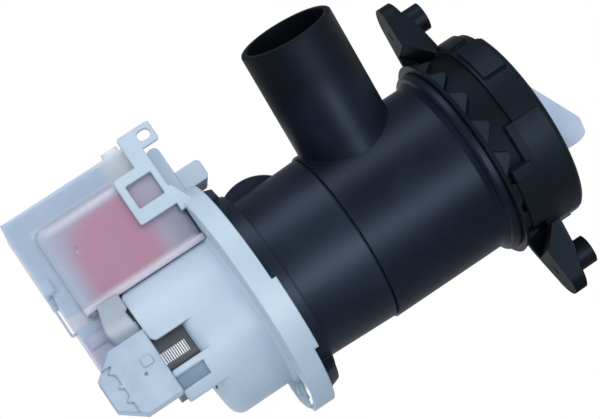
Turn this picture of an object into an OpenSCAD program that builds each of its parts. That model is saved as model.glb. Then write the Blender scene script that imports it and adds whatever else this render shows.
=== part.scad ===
// Washer drain pump with a filter housing and a two-pole permanent-magnet motor.
// X runs along the pump axis toward the filter cap, Z goes up through the upper ear.
// The origin is on the axis, in the plane where the two screw bosses seat.

/* [Clearances] */
// Gap between nested pieces that do not move
fit_gap = 0.15; // [0.1:0.05:0.25]
// Gap round pieces that move
run_gap = 0.4; // [0.3:0.05:0.6]
// Radial clearance of the shaft in its bushes
bush_gap = 0.03; // [0.02:0.01:0.06]

/* [Filter housing] */
// Outside diameter of the filter tube
tube_d = 75.8; // [70:0.2:80]
// Wall of the filter tube
tube_wall = 2.8; // [2.4:0.1:3.4]
// Distance from the boss seats back to the seam with the casing
seam_back = 79; // [76:1:90]
// Height of the ring bead behind the collar
ring_bead_h = 3.6; // [2.6:0.1:4.6]
// Width of the ring bead
ring_bead_w = 4; // [3:0.5:5]
// Outside diameter of the inlet spigot
inlet_d = 40; // [34:0.5:44]
// Wall of the inlet spigot
inlet_wall = 2.7; // [2:0.1:3.4]
// Reach of the inlet rim from the pump axis
inlet_reach = 84.5; // [70:0.5:95]
// Distance from the boss seats back to the inlet axis
inlet_back = 58.3; // [55:0.5:58.5]
// Lean of the inlet from upright
inlet_lean = 25.7; // [0:0.5:35]
// Thickening of the inlet at its root
inlet_root = 0.5; // [0.3:0.1:0.8]

/* [Mounting collar] */
// Wall of the collar round the cap recess
collar_wall = 4.2; // [3.6:0.1:5]
// Distance from the boss seats forward to the collar rim
collar_front = 8; // [6:0.5:10]
// Distance from the boss seats back to the end of the collar
collar_back = 21.5; // [20:0.5:24]
// Gap round the filter cap in the collar
cap_play = 1.2; // [0.8:0.1:1.6]
// Height of the waist between collar and rear ring above the filter tube
waist_h = 2.7; // [2.2:0.1:3.4]
// Height of the raised bands on the collar
band_h = 1.4; // [0.8:0.1:1.8]
// Number of gussets round the waist
gussets = 18; // [12:1:18]
// Width of a gusset at its foot on the rear ring
gusset_w = 12; // [8:0.5:12.5]
// Reach of a gusset in front of the rear ring
gusset_len = 5.6; // [4:0.2:8]
// Distance of the ear screws beyond the collar
ear_out = 14.3; // [13:0.1:17]
// Diameter of the ear screw holes
ear_hole_d = 4.2; // [3.5:0.1:5]
// Diameter of the screw bosses
boss_d = 12.2; // [10:0.2:13]
// Radius of the ear tips
ear_tip_r = 8; // [7:0.5:9]
// Distance of the ear tip centre beyond the screw
ear_tip_out = 4.2; // [3:0.2:6]
// Half width of an ear at its root
ear_root = 11.5; // [10:0.5:14]
// Distance from the boss seats back to the root of an ear
ear_back = 17; // [15:0.5:18]
// Thickness of an ear at its tip
ear_t = 6.5; // [5:0.5:8]
// Height of the undercut at the root of an ear
ear_undercut = 6.5; // [4:0.5:7]
// Width of the ring at the rear of the collar
rear_ring_w = 1.6; // [1.2:0.2:2.6]
// Distance from the boss seats back to the front band of the collar
collar_w = 6.5; // [5.5:0.5:8]
// Radius of the collar's front rim
rim_round = 2; // [1:0.2:2.4]
// Depth of the cut in the rim at the top of the collar
rim_cut = 2.6; // [1.6:0.2:3]

/* [Volute casing] */
// Step from the filter tube in to the rear of the casing
casing_step = 2.1; // [1.6:0.1:2.4]
// Growth of the casing's radius from the rear to the seam
casing_draft = 1.3; // [0.8:0.1:1.5]
// Width and depth of the groove at the seam
seam_groove = 0.7; // [0.5:0.1:1]
// Wall of the volute casing
casing_wall = 2.8; // [2.4:0.1:3.4]
// Length of the volute casing behind the seam
casing_len = 40; // [38:0.5:46]
// Height of the rear flange above the casing
rear_flange_h = 5.2; // [4.6:0.1:6.5]
// Thickness of the rear flange
rear_flange_t = 8; // [6:0.5:9]
// Reach of the locking lugs beyond the rear flange
lug_h = 6; // [4:0.5:6]
// Diameter of the suction eye
eye_d = 26; // [20:0.5:32]
// Thickness of the partition with the eye
partition_t = 3; // [2:0.5:4]
// Length of the tongue inside the filter tube
tongue_len = 6; // [4:0.5:8]
// Outside diameter of the outlet spigot
outlet_d = 24; // [22:0.5:26]
// Wall of the outlet spigot
outlet_wall = 2.6; // [2:0.1:3]
// Thickening of the outlet at its foot
outlet_foot = 0.5; // [0.3:0.1:0.8]
// Diameter of the valve chamber at the root of the outlet
outlet_root_d = 37.6; // [34:0.2:40]
// Length of the valve chamber from the pump axis
outlet_root_len = 40; // [36:1:46]
// Free length of the outlet spigot
outlet_len = 34; // [24:1:45]
// Distance from the seam back to the outlet axis
outlet_back = 23; // [22:0.5:24.5]

/* [Motor frame] */
// Reach of the motor flange beyond the casing's rear flange
flange_reach = 9.8; // [9.4:0.1:12]
// Width of the flange rim
flange_w = 8.8; // [7.5:0.2:10]
// Thickness of the flange web and rim
flange_t = 2.6; // [2:0.2:3]
// Outside diameter of the motor shell
shell_d = 71.2; // [70:0.2:73]
// Wall of the motor shell
shell_wall = 2; // [1.6:0.1:2.2]
// Length of the motor shell behind the flange
shell_len = 27.2; // [25:0.2:29]
// Reach of the shell tabs beyond the shell
tab_len = 13.5; // [11:0.5:16]
// Rounding of the tabs' corners
tab_round = 3; // [1.5:0.5:4]
// Height of the flat top of the shell
shell_top = 27; // [25:0.5:28.5]
// Inside diameter of the rotor can
can_d = 25.2; // [24.8:0.1:26]
// Wall of the rotor can
can_wall = 1.2; // [1:0.1:1.4]
// Thickness of the cover brackets
bracket_t = 2.2; // [1.8:0.1:2.6]
// Length of the cover brackets behind the flange
bracket_len = 18.6; // [16:0.2:21]
// Distance of the bracket's lower edge below the top of the flange
bracket_drop = 6.3; // [5:0.1:7.5]
// Height of the bracket windows' frame
bracket_h = 20.5; // [18:0.5:24]

/* [Stator and coils] */
// Thickness of the lamination stack
stack_len = 23; // [20:0.5:24]
// Width of the stack across the poles
stack_w = 60; // [56:0.5:62]
// Pitch of the lamination grooves
lam_pitch = 0.95; // [0.8:0.05:2]
// Width of a core limb
limb_w = 10; // [8:0.5:11]
// Height of the coil between its cheeks
coil_h = 28.5; // [26:0.5:30]
// Depth of the winding with its tape
coil_build = 4; // [3:0.1:4.2]
// Wall of the bobbin
bobbin_wall = 0.9; // [0.7:0.1:1.1]
// Thickness of the bobbin cheeks
cheek_t = 1.5; // [1.2:0.1:2]
// Height of the yoke across the limbs
yoke_h = 10; // [8:0.5:10.5]

/* [Motor cover] */
// Length of the cover
cover_len = 63.3; // [60:0.5:68]
// Height of the cover top above the pump axis
cover_top = 76; // [75.5:0.5:80]
// Width of the cover over the coils
cover_w = 50; // [49.6:0.2:52]
// Width of the cover over the yoke
cover_neck_w = 40; // [39.6:0.2:42]
// Wall of the cover
cover_wall = 1.4; // [1.2:0.1:1.6]
// Height of the cover skirt above the pump axis
skirt_low = 7.5; // [7:0.5:10]
// Rounding of the cover over the coils
cover_round = 4; // [3:0.5:5]
// Step in at the foot of the cover's rear wall
rear_step = 2.2; // [1.6:0.2:3]
// Height of that step above the pump axis
step_z = 42; // [40:0.5:46]

/* [Connector] */
// Length of the connector housing
plug_len = 25; // [22:0.5:28]
// Height of the connector housing
plug_h = 28; // [26:0.5:32]
// Height of the connector's top above the pump axis
plug_top = 9.4; // [8:0.2:11]
// Width of the connector housing
plug_w = 14; // [13:0.5:16]
// Distance of the connector's outer face from the pump axis
plug_out = 38; // [37:0.5:40]
// Wall of the connector housing
plug_wall = 1.8; // [1.4:0.1:2.2]
// Width of a terminal tab
tab_w = 6.3; // [4.8:0.1:6.3]
// Thickness of a terminal tab
tab_t = 0.8; // [0.5:0.1:1]

/* [Rotor and impeller] */
// Diameter of the shaft
shaft_d = 4; // [3.5:0.1:5]
// Diameter of the rotor magnet
magnet_d = 23.8; // [22:0.2:24]
// Length of the rotor magnet
magnet_len = 23; // [20:0.5:23]
// Diameter of the plastic core of the rotor
sleeve_d = 12; // [10:0.2:14]
// Outside diameter of the bushes
bush_d = 10; // [9:0.2:12]
// Length of a bush
bush_len = 6; // [5:0.5:7]
// Diameter of the impeller
impeller_d = 48; // [40:0.5:56]
// Number of impeller vanes
vanes = 6; // [4:1:9]
// Height of the vanes
vane_h = 20; // [16:0.5:22]
// Thickness of a vane
vane_t = 2; // [1.4:0.1:2.6]
// Diameter of the drive dog body
dog_d = 10; // [9:0.2:11]
// Angle taken by each drive lug
lug_angle = 50; // [30:1:60]

/* [Filter] */
// Lap of the cap face over the filter tube
cap_lap = 0.7; // [0.3:0.1:1]
// Thickness of the cap face
cap_t = 4.3; // [3:0.1:5]
// Length of the plug behind the cap
plug_depth = 16; // [13:0.5:18]
// Section diameter of the cap seal
cap_seal_d = 2.4; // [2:0.1:3]
// Distance of the grip's ends from the edge of the cap
grip_inset = 5; // [3:0.1:8]
// Rounding of the grip's ends
grip_round = 8; // [4:0.5:10]
// Height of the grip above the boss seats
grip_top = 22.2; // [18:0.2:26]
// Thickness of the grip bar
grip_t = 5; // [4:0.5:7]
// Turn of the grip from upright
grip_turn = 52; // [0:1:90]
// Gap between the strainer and the filter tube
basket_gap = 3.6; // [3.4:0.1:6]
// Number of strainer bars
bars = 16; // [8:1:20]
// Thickness of the strainer wall
basket_wall = 3; // [2.4:0.1:4]

/* [Hidden] */
$fn = 48;

black = [0.10, 0.11, 0.13];
white = [0.86, 0.89, 0.94];
milky = [0.76, 0.82, 0.90];
rubber = [0.07, 0.07, 0.08];
steel = [0.72, 0.73, 0.75];
iron = [0.28, 0.29, 0.31];
pink = [0.80, 0.55, 0.62];
brass = [0.80, 0.68, 0.40];

// Overshoot of a cut past the face it opens, and overlap of two fused forms
over = 1;
fuse = 0.1;

// Stations along the pump axis
seam_x = -seam_back;
casing_x = seam_x - casing_len;
web_x = casing_x - flange_w;
shell_x = web_x - shell_len;
tab_x = shell_x - tab_len;
stack_x = tab_x + fit_gap;
stack_end = stack_x + stack_len;
stack_mid = stack_x + stack_len / 2;
can_end = stack_x - 2;
cover_x = web_x - run_gap - cover_len;

// Radii shared by neighbours
tube_r = tube_d / 2;
tube_bore = tube_r - tube_wall;
cap_r = tube_r + cap_lap;
recess_r = cap_r + cap_play;
collar_r = recess_r + collar_wall;
waist_r = tube_r + waist_h;
ear_r = collar_r + ear_out;
casing_r = tube_r - casing_step;
chamber_r = casing_r - casing_wall;
rear_r = casing_r + rear_flange_h;
flange_r = rear_r + flange_reach;
bracket_low = flange_r - bracket_drop;
shell_r = shell_d / 2;
shell_bore = shell_r - shell_wall;
can_bore = can_d / 2;
can_r = can_bore + can_wall;
shaft_r = shaft_d / 2;
bush_r = bush_d / 2;

// Helpers that work round the X axis; profiles are lists of [x, radius]
module turned(profile) {
    rotate([0, 90, 0]) rotate_extrude() polygon([for (p = profile) [p[1], p[0]]]);
}

// Part of a turn; angles go from +Z toward -Y
module turned_part(profile, from, sweep) {
    rotate([0, 90, 0]) rotate([0, 0, 180 + from]) rotate_extrude(angle = sweep)
        polygon([for (p = profile) [p[1], p[0]]]);
}

function ring(x, r) = [[x[0], r[0]], [x[1], r[0]], [x[1], r[1]], [x[0], r[1]]];

module rod(x0, x1, r) {
    translate([x0, 0, 0]) rotate([0, 90, 0]) cylinder(r = r, h = x1 - x0);
}

module tube(x0, x1, r_out, r_in) {
    turned(ring([x0, x1], [r_in, r_out]));
}

// Round seal of section diameter d on a circle of radius r
module seal_ring(x, r, d) {
    translate([x, 0, 0]) rotate([0, 90, 0]) rotate_extrude() translate([r, 0]) circle(d / 2, $fn = 24);
}

module box(x, y, z) {
    translate([x[0], y[0], z[0]]) cube([x[1] - x[0], y[1] - y[0], z[1] - z[0]]);
}

module around(angle) {
    rotate([angle, 0, 0]) children();
}

// Extrudes an outline drawn in Y and Z along X
module along_x(x0, x1) {
    translate([x0, 0, 0]) rotate([90, 0, 90]) linear_extrude(x1 - x0) children();
}

// Extrudes an outline drawn in X and Z along Y
module along_y(y0, y1) {
    translate([0, y1, 0]) rotate([90, 0, 0]) linear_extrude(y1 - y0) children();
}

module rect(x, y) {
    translate([x[0], y[0]]) square([x[1] - x[0], y[1] - y[0]]);
}

module round_rect(x, y, r) {
    rect([x[0] + r, x[1] - r], y);
    rect(x, [y[0] + r, y[1] - r]);
    for (cx = [x[0] + r, x[1] - r], cy = [y[0] + r, y[1] - r]) translate([cx, cy]) circle(r);
}

function arc(cx, cy, r, a0, a1, n) = [for (i = [0:n]) let (a = a0 + (a1 - a0) * i / n)
    [cx + r * cos(a), cy + r * sin(a)]];

// Front tube with the inlet spigot, open at both ends
bead_r = tube_r + ring_bead_h;
bead_x = -collar_back - fit_gap - ring_bead_w;
inlet_r = inlet_d / 2;
inlet_round = inlet_wall * 0.4;
inlet_land = tube_r + 2;

module toward_inlet() {
    translate([-inlet_back, 0, 0]) rotate([inlet_lean, 0, 0]) children();
}

module filter_housing() {
    bead_round = ring_bead_w / 2;
    root_low = tube_r - 8;
    root_r = inlet_r + inlet_root;
    color(black) difference() {
        union() {
            turned(concat([[seam_x, 0], [seam_x, tube_r], [bead_x - bead_round, tube_r]],
                [[bead_x, bead_r - bead_round]],
                arc(bead_x + bead_round, bead_r - bead_round, bead_round, 180, 90, 6),
                [[bead_x + ring_bead_w, bead_r], [bead_x + ring_bead_w, tube_r], [0, tube_r], [0, 0]]));
            toward_inlet() rotate_extrude() polygon(concat(
                [[0, 0], [root_r, 0], [root_r, root_low], [inlet_r, inlet_land]],
                arc(inlet_r - inlet_round, inlet_reach - inlet_round, inlet_round, 0, 90, 4),
                [[0, inlet_reach]]));
        }
        rod(seam_x - over, over, tube_bore);
        toward_inlet() cylinder(r = inlet_r - inlet_wall, h = inlet_reach + over);
    }
}

// Ring with two screw ears that slides over the front of the filter tube
collar_low = collar_r - band_h;
collar_bore = tube_r + fit_gap;
ear_tip_z = ear_r + ear_tip_out;
ring_front = rear_ring_w - collar_back;
rim_shoulder = collar_front - rim_round;

// Raised bands round the collar: start, sweep, rear end and front end
bands = [
    [-30, 62, 0.5 - collar_w, rim_shoulder - 3.5],
    [40, 27, 1.5 - collar_w, rim_shoulder - 0.5],
    [95, 70, -collar_w - 4, rim_shoulder - 0.5],
    [195, 60, -collar_w - 4, rim_shoulder - 0.5]];

// Corner of an ear's flank on the tip circle, as seen along X
function flank(w, z0, zc, r) = let (h = zc - z0, d = sqrt(w * w + h * h), turn = atan2(h, -w) - asin(r / d),
    t = sqrt(d * d - r * r)) [w + t * cos(turn), z0 + t * sin(turn)];

// Plate that leans back toward its tip, with a screw boss in front and an undercut at its root
module ear() {
    lean = 2;
    edge = 1;
    root_z = waist_r - 2;
    end_z = ear_tip_z + ear_tip_r;
    tip = flank(ear_root, root_z, ear_tip_z, ear_tip_r);
    tip_back = lean - ear_back;
    tip_front = tip_back + ear_t;
    root_front = 1.5 - collar_w;
    undercut_z = collar_r + ear_undercut;
    undercut_x = -collar_w - 1;
    side_wall = 4;
    hole_end = tip_back + 2;
    slit = [1.4, 3.6];
    difference() {
        union() {
            intersection() {
                along_x(-collar_back, 0) {
                    polygon([[-ear_root, root_z], [ear_root, root_z], tip, [-tip[0], tip[1]]]);
                    translate([0, ear_tip_z]) circle(ear_tip_r);
                }
                along_y(-ear_root - over, ear_root + over) polygon([[-ear_back, root_z - over],
                    [-ear_back, collar_r + lean], [tip_back, end_z], [tip_front - edge, end_z],
                    [tip_front, ear_tip_z], [root_front - edge, ear_r - boss_d / 3],
                    [root_front, collar_r], [root_front, root_z - over]]);
            }
            translate([0, 0, ear_r]) rod(hole_end, 0, boss_d / 2);
        }
        translate([0, 0, ear_r]) {
            rod(hole_end, over, ear_hole_d / 2);
            box([-collar_back - over, hole_end + over], [-slit[0] / 2, slit[0] / 2],
                [-slit[1] / 2, slit[1] / 2]);
        }
        along_y(-ear_root - over, ear_root - side_wall) polygon([[-collar_back, root_z - over],
            [-collar_back, undercut_z], [edge - ear_back, undercut_z], [undercut_x, waist_r],
            [undercut_x, root_z - over]]);
    }
}

// Flat gusset on the waist that narrows from the rear ring toward the front
module gusset() {
    point = 1;
    lean = 1.5;
    foot = waist_r - 1;
    end_x = ring_front + gusset_len;
    translate([0, 0, foot]) linear_extrude(collar_low - foot) polygon([
        [ring_front - fuse, -gusset_w / 2], [end_x, lean - point], [end_x, lean + point],
        [ring_front - fuse, gusset_w / 2]]);
}

module mounting_collar() {
    flare = 0.5;
    cut_turn = [-16, 54];
    latch_x = [-collar_back + 3.7, -collar_w - 1.5];
    latch_r = collar_r + 0.8;
    latch_turn = [121, 33];
    nib_x = [latch_x[0], latch_x[1] - 1];
    nib_turn = [115.5, 6.5];
    color(black) difference() {
        union() {
            turned(concat([[-collar_back, 0], [-collar_back, collar_r + flare], [ring_front, collar_r]],
                [[ring_front, waist_r], [-collar_w, waist_r], [-collar_w, collar_low]],
                arc(rim_shoulder, collar_low - rim_round, rim_round, 90, 0, 6), [[collar_front, 0]]));
            for (band = bands)
                turned_part(ring([band[2], band[3]], [collar_low - 1, collar_r]), band[0], band[1]);
            turned_part(ring(latch_x, [waist_r - 1, latch_r]), latch_turn[0], latch_turn[1]);
            turned_part(ring(nib_x, [waist_r - 1, latch_r + 0.8]), nib_turn[0], nib_turn[1]);
            for (i = [0:gussets - 1]) around(360 / gussets * (i + 0.5)) gusset();
            for (lower = [0, 1]) mirror([0, 0, lower]) ear();
        }
        turned([[-collar_back - over, 0], [-collar_back - over, collar_bore], [fit_gap, collar_bore],
            [fit_gap, recess_r], [collar_front + over, recess_r], [collar_front + over, 0]]);
        turned_part(ring([collar_front - rim_cut, collar_front + over], [recess_r - over, collar_r + over]),
            cut_turn[0], cut_turn[1]);
    }
}

// Pump chamber with the suction eye in front, a lug flange behind and the outlet at the back
outlet_x = seam_x - outlet_back;
outlet_r = outlet_d / 2;
outlet_bore = outlet_r - outlet_wall;
outlet_z = chamber_r - outlet_bore;
outlet_end = outlet_root_len + outlet_len;
outlet_land = outlet_root_len + 1.5;
rear_x = casing_x + rear_flange_t;
lug_turns = [0, 165, 260];
lug_sweep = 20;

module toward_outlet() {
    translate([outlet_x, 0, outlet_z]) rotate([-90, 0, 0]) children();
}

module volute_casing() {
    root_r = outlet_root_d / 2;
    root_slope = 3;
    outlet_round = outlet_wall * 0.4;
    tongue_r = tube_bore - fit_gap;
    rim_t = 1;
    step_r = casing_r + 1.6;
    front_x = seam_x - seam_groove;
    front_r = casing_r + casing_draft;
    lug_x = [casing_x + 1, rear_x - 1.5];
    lug_edge = [1, 1.5];
    color(black) difference() {
        union() {
            turned([[casing_x, 0], [casing_x, casing_r], [front_x, front_r], [front_x, front_r - seam_groove],
                [seam_x, front_r - seam_groove], [seam_x, 0]]);
            rod(seam_x - over, seam_x + tongue_len, tongue_r);
            rod(casing_x, rear_x - rim_t, rear_r);
            rod(rear_x - rim_t - fuse, rear_x, step_r);
            for (turn = lug_turns) turned_part([[lug_x[0], rear_r - 1], [lug_x[0], rear_r + lug_h],
                [lug_x[1] - lug_edge[0], rear_r + lug_h - lug_edge[1]], [lug_x[1], rear_r - 1]],
                turn - lug_sweep / 2, lug_sweep);
            intersection() {
                toward_outlet() rotate_extrude() polygon([[0, 0], [root_r, 0],
                    [root_r, outlet_root_len - root_slope], [root_r - root_slope, outlet_root_len],
                    [0, outlet_root_len]]);
                box([rear_x - over, front_x - 1], [0, outlet_end], [-casing_r, outlet_z + root_r + over]);
            }
            toward_outlet() rotate_extrude() polygon(concat([[0, outlet_root_len - over],
                [outlet_r + outlet_foot, outlet_root_len - over], [outlet_r, outlet_land]],
                arc(outlet_r - outlet_round, outlet_end - outlet_round, outlet_round, 0, 90, 4),
                [[0, outlet_end]]));
        }
        rod(casing_x - over, seam_x - partition_t, chamber_r);
        rod(seam_x - partition_t - over, seam_x + over, eye_d / 2);
        rod(seam_x, seam_x + tongue_len + over, tongue_r - casing_wall);
        toward_outlet() cylinder(r = outlet_bore, h = outlet_end + over);
    }
}

// White frame: twist-lock flange, motor shell, rotor can and the brackets that hold the cover
rim_bore = flange_r - flange_t;
web_front = web_x + flange_t;
boss_r = can_r + 5.6;
boss_bore = boss_r - 2.6;
boss_front = casing_x + 2;
seal_r = chamber_r + 4.8;
seal_d = 2.2;
pocket_x = can_end - bush_len;
bracket_y = [-cover_w / 2 - fit_gap * 2 - bracket_t, -cover_w / 2 - fit_gap * 2];

// Window frame beside the cover; the near one also has an arm with a wire eye
module cover_bracket(with_eye) {
    x = [web_x - bracket_len, web_x - 1.2];
    z = [bracket_low, bracket_low + bracket_h];
    frame = 3.2;
    arm_w = 7;
    arm_top = cover_top + 2.3;
    eye_plate = [x[1] - arm_w, x[1] + 7.6];
    eye_low = arm_top - 8.6;
    foot_x = web_x + flange_t + 1.4;
    foot_z = [z[0] - 3.5, z[0] - 1.5, z[0] + 7.5];
    corner = 1.2;
    along_y(bracket_y[0], bracket_y[1]) difference() {
        union() {
            round_rect(x, z, corner);
            polygon([[x[1] - over, foot_z[0]], [foot_x, foot_z[0]], [foot_x, foot_z[1]],
                [x[1] + over, foot_z[2]], [x[1] - over, foot_z[2]]]);
            if (with_eye) {
                rect([x[1] - arm_w, x[1]], [z[1] - 2, eye_low + 2]);
                round_rect(eye_plate, [eye_low, arm_top], corner);
            }
        }
        round_rect([x[0] + frame, x[1] - frame + 0.6], [z[0] + 5.8, z[1] - 4.3], corner / 2);
        if (with_eye) round_rect([x[1] + 0.4, x[1] + 6], [eye_low + 2.4, arm_top - 2], 2);
    }
}

// Twist-lock flange with the groove for its seal and the boss for the bearing cap
module lock_flange() {
    groove = seal_d / 2 + fit_gap;
    spigot_r = chamber_r - fit_gap;
    spigot_t = 2.2;
    lip_x = casing_x + 1.8;
    lip_turn = [94, 37];
    slot_turn = [157, 43];
    entry_turn = [190, 42];
    difference() {
        union() {
            tube(web_x, web_front, flange_r, can_bore);
            tube(web_x, lip_x, flange_r, rim_bore);
            tube(web_front - fuse, casing_x, seal_r + seal_d, seal_r - seal_d);
            tube(web_front - fuse, casing_x + 5, spigot_r, spigot_r - spigot_t);
            tube(web_front - fuse, boss_front, boss_r, boss_bore);
        }
        turned_part(ring([casing_x - fit_gap, lip_x + over], [rim_bore - 1, flange_r + 1]),
            lip_turn[0] + lip_turn[1], 360 - lip_turn[1]);
        turned(ring([casing_x - seal_d, casing_x + over], [seal_r - groove, seal_r + groove]));
        turned_part(ring([web_x - over, web_front + over], [shell_r + 2.5, rim_bore]),
            slot_turn[0], slot_turn[1]);
        turned_part(ring([web_x - over, lip_x + over], [rim_bore - 1, flange_r + over]),
            entry_turn[0], entry_turn[1]);
    }
}

// Round shell with a flat top, two rear tabs and a shelf that hold the lamination stack
module motor_shell() {
    corner = 5;
    foot = 1.6;
    end_bore = can_r + 8;
    tab_span = [3.3, shell_top];
    shelf_span = [-22.8, -9.8];
    recess_h = 1.5;
    recess_turn = [110.5, 10.5];
    intersection() {
        difference() {
            union() {
                turned(concat([[web_x + fuse, shell_bore], [web_x + fuse, shell_r + foot]],
                    [[web_x, shell_r + foot], [web_x - foot, shell_r]],
                    arc(shell_x + corner, shell_r - corner, corner, 90, 180, 6), [[shell_x, end_bore],
                    [shell_x + shell_wall, end_bore], [shell_x + shell_wall, shell_bore]]));
                for (far = [0, 1]) intersection() {
                    tube(tab_x, shell_x + corner + over, shell_r, shell_bore);
                    along_y(far ? 0 : -shell_r, far ? shell_r : 0) {
                        round_rect([tab_x, web_x], tab_span, tab_round);
                        if (!far) round_rect([tab_x, web_x], shelf_span, 1);
                    }
                }
            }
            along_x(tab_x - over, shell_x + shell_wall + over) {
                core_section(fit_gap, stack_high);
                rect([-limb_end - fit_gap, limb_end + fit_gap], [stack_high, shell_top + over]);
            }
            turned_part(ring([tab_x - over, shell_x - over], [shell_r - recess_h, shell_r + over]),
                recess_turn[0], recess_turn[1]);
        }
        box([tab_x, web_x + over], [-flange_r, flange_r], [-flange_r, shell_top]);
    }
}

// Thin foot with a hole under the shell, in front of the flange's lower slot
module shell_foot() {
    foot_t = 2.4;
    root_z = 0.5 - shell_r;
    end_z = 1.2 - flange_r;
    drop = root_z - end_z;
    along_y(-foot_t / 2, foot_t / 2) difference() {
        polygon([[web_x + 2.4, root_z], [web_x + 1.5, root_z - drop * 0.4], [web_x - 0.2, end_z + 3],
            [web_x - 0.8, end_z], [web_x - 2.2, end_z + 2], [web_x - 3.2, end_z + 5.5],
            [web_x - 3.3, root_z - 3], [web_x - 2.9, root_z]]);
        polygon([[web_x - 1.3, root_z - 2.2], [web_x - 0.5, root_z - 2.6], [web_x - 0.6, root_z - drop * 0.55],
            [web_x - 1.4, root_z - drop * 0.55], [web_x - 2.4, root_z - drop * 0.42]]);
    }
}

module motor_frame() {
    hook_y = [-11, 9];
    hook_low = max(rim_bore + 0.8, rear_r + lug_h + run_gap);
    hook_top = flange_r + 7;
    hook_round = 2;
    tower_w = 5.3;
    tower_top = hook_top + 13.2;
    tower_root = flange_r - 6;
    pocket_r = bush_r + fit_gap;
    color(white) difference() {
        union() {
            lock_flange();
            motor_shell();
            shell_foot();
            turned([[pocket_x - can_wall, 0], [pocket_x - can_wall, pocket_r + can_wall],
                [can_end - can_wall, pocket_r + can_wall], [can_end - can_wall, can_r], [web_front, can_r],
                [web_front, 0]]);
            cover_bracket(true);
            mirror([0, 1, 0]) cover_bracket(false);
            along_y(hook_y[0] - 1, hook_y[1] - 1) round_rect([web_x, web_x + tower_w],
                [tower_root, tower_top], tower_w / 2 - fuse);
            along_y(hook_y[0], hook_y[1])
                round_rect([web_x + 1, rear_x - run_gap], [hook_low, hook_top], hook_round);
        }
        rod(pocket_x, can_end + over, pocket_r);
        rod(can_end, boss_front + over, can_bore);
        rod(web_front, boss_front + over, boss_bore);
    }
}

// Laminated core with two poles round the rotor can and two limbs for the coils
stack_bore = can_r + run_gap;
stack_low = -16.2;
stack_high = 22;
limb_y = 7.5;
limb_mid = limb_y + limb_w / 2;
limb_end = limb_y + limb_w;
coil_low = 33;
coil_high = coil_low + coil_h;
bobbin_top = coil_high + cheek_t;
yoke_z = bobbin_top + 1;
yoke_top = yoke_z + yoke_h;

// Section of the core across the axis, with its limbs up to the given height
module core_section(grow, top) {
    half = stack_w / 2 + grow;
    limb_half = limb_w / 2 + grow;
    intersection() {
        circle(shell_bore - fit_gap * 2 + grow);
        rect([-half, half], [stack_low - grow, stack_high + grow]);
    }
    for (side = [-1, 1]) translate([side * limb_mid, 0]) rect([-limb_half, limb_half], [0, top]);
}

module stator_core() {
    slot = 1.5;
    bridge = 3;
    groove = 0.3;
    groove_z = [-6.2, -1.5];
    edge = stack_w / 2;
    grooves = floor(stack_len / lam_pitch) - 1;
    color(iron) difference() {
        along_x(stack_x, stack_end) difference() {
            core_section(0, yoke_z);
            circle(stack_bore);
            rect([-slot, slot], [0, stack_high + over]);
            rect([-limb_y, limb_y], [stack_high - bridge, stack_high + over]);
        }
        for (i = [1:grooves], side = [-1, 1]) let (x = stack_x + i * lam_pitch)
            box([x - groove / 2, x + groove / 2], [side * edge - groove, side * edge + groove], groove_z);
    }
}

module core_yoke() {
    color(iron) box([stack_x, stack_end], [-limb_end, limb_end], [yoke_z, yoke_top]);
}

// Bobbins with cheeks, and windings wrapped in pink tape
bobbin_in_x = stack_len / 2 + fit_gap;
bobbin_in_y = limb_w / 2 + fit_gap;
wound = bobbin_wall + coil_build;
cheek_y = [limb_mid - bobbin_in_y - wound - 0.4, limb_mid + bobbin_in_y + wound + 0.2];
cheek_x = [stack_mid - bobbin_in_x - wound - 0.5, stack_mid + bobbin_in_x + wound + 0.5];
plug_end_x = tab_x - fit_gap * 2;
plug_x = plug_end_x - plug_len;
plug_y = [-plug_out, plug_w - plug_out];

module bobbin_blank(low, high, grow, r) {
    translate([stack_mid, limb_mid, low]) linear_extrude(high - low)
        round_rect([-bobbin_in_x - grow, bobbin_in_x + grow], [-bobbin_in_y - grow, bobbin_in_y + grow], r);
}

module bobbin() {
    shroud_t = 0.7;
    shroud_y = limb_end + fit_gap;
    difference() {
        union() {
            bobbin_blank(coil_low - cheek_t, bobbin_top, bobbin_wall, bobbin_wall / 2);
            for (z = [coil_low - cheek_t, coil_high]) box(cheek_x, cheek_y, [z, z + cheek_t]);
            box([stack_x, stack_end], [shroud_y, shroud_y + shroud_t], [bobbin_top - fuse, yoke_top - 0.6]);
        }
        box([stack_mid - bobbin_in_x, stack_mid + bobbin_in_x],
            [limb_mid - bobbin_in_y, limb_mid + bobbin_in_y], [0, bobbin_top + over]);
    }
}

// Near bobbin with the terminal block, which stands on the connector and has a slit beside the shell's tab
module near_bobbin() {
    block_x = [plug_x + plug_len / 2, plug_end_x];
    block_y = [plug_out - plug_w / 2, cheek_y[1] - 2];
    block_top = shell_top - fuse;
    neck_x = [cheek_x[0] - 5, cheek_x[0] - 1.5];
    neck_t = 2;
    shelf_t = 8;
    bevel = [2, 7];
    slit = [1.4, 6];
    slit_z = plug_top + 5;
    fold = [2.5, 8];
    color(milky) mirror([0, 1, 0]) {
        bobbin();
        box([neck_x[0], cheek_x[0] + over], [cheek_y[1] - shelf_t, cheek_y[1]], [coil_low - cheek_t, coil_low]);
        box(neck_x, [cheek_y[1] - neck_t, cheek_y[1]], [block_top - over, coil_low]);
        difference() {
            along_y(block_y[1], block_y[0]) polygon([[block_x[0] + bevel[0] + 1, block_top],
                [block_x[1], block_top], [block_x[1], slit_z + slit[1]],
                [block_x[1] - slit[0], slit_z + slit[1] - 1], [block_x[1] - slit[0] / 2, slit_z],
                [block_x[1], slit_z], [block_x[1], plug_top + fuse],
                [block_x[0] + bevel[0], plug_top + fuse], [block_x[0], plug_top + bevel[1]]]);
            along_x(block_x[0] - over, block_x[1] + over) polygon([[block_y[0] + over, plug_top],
                [block_y[0] - fold[0], plug_top], [block_y[0], plug_top + fold[1]],
                [block_y[0] + over, plug_top + fold[1]]]);
        }
    }
}

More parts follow.
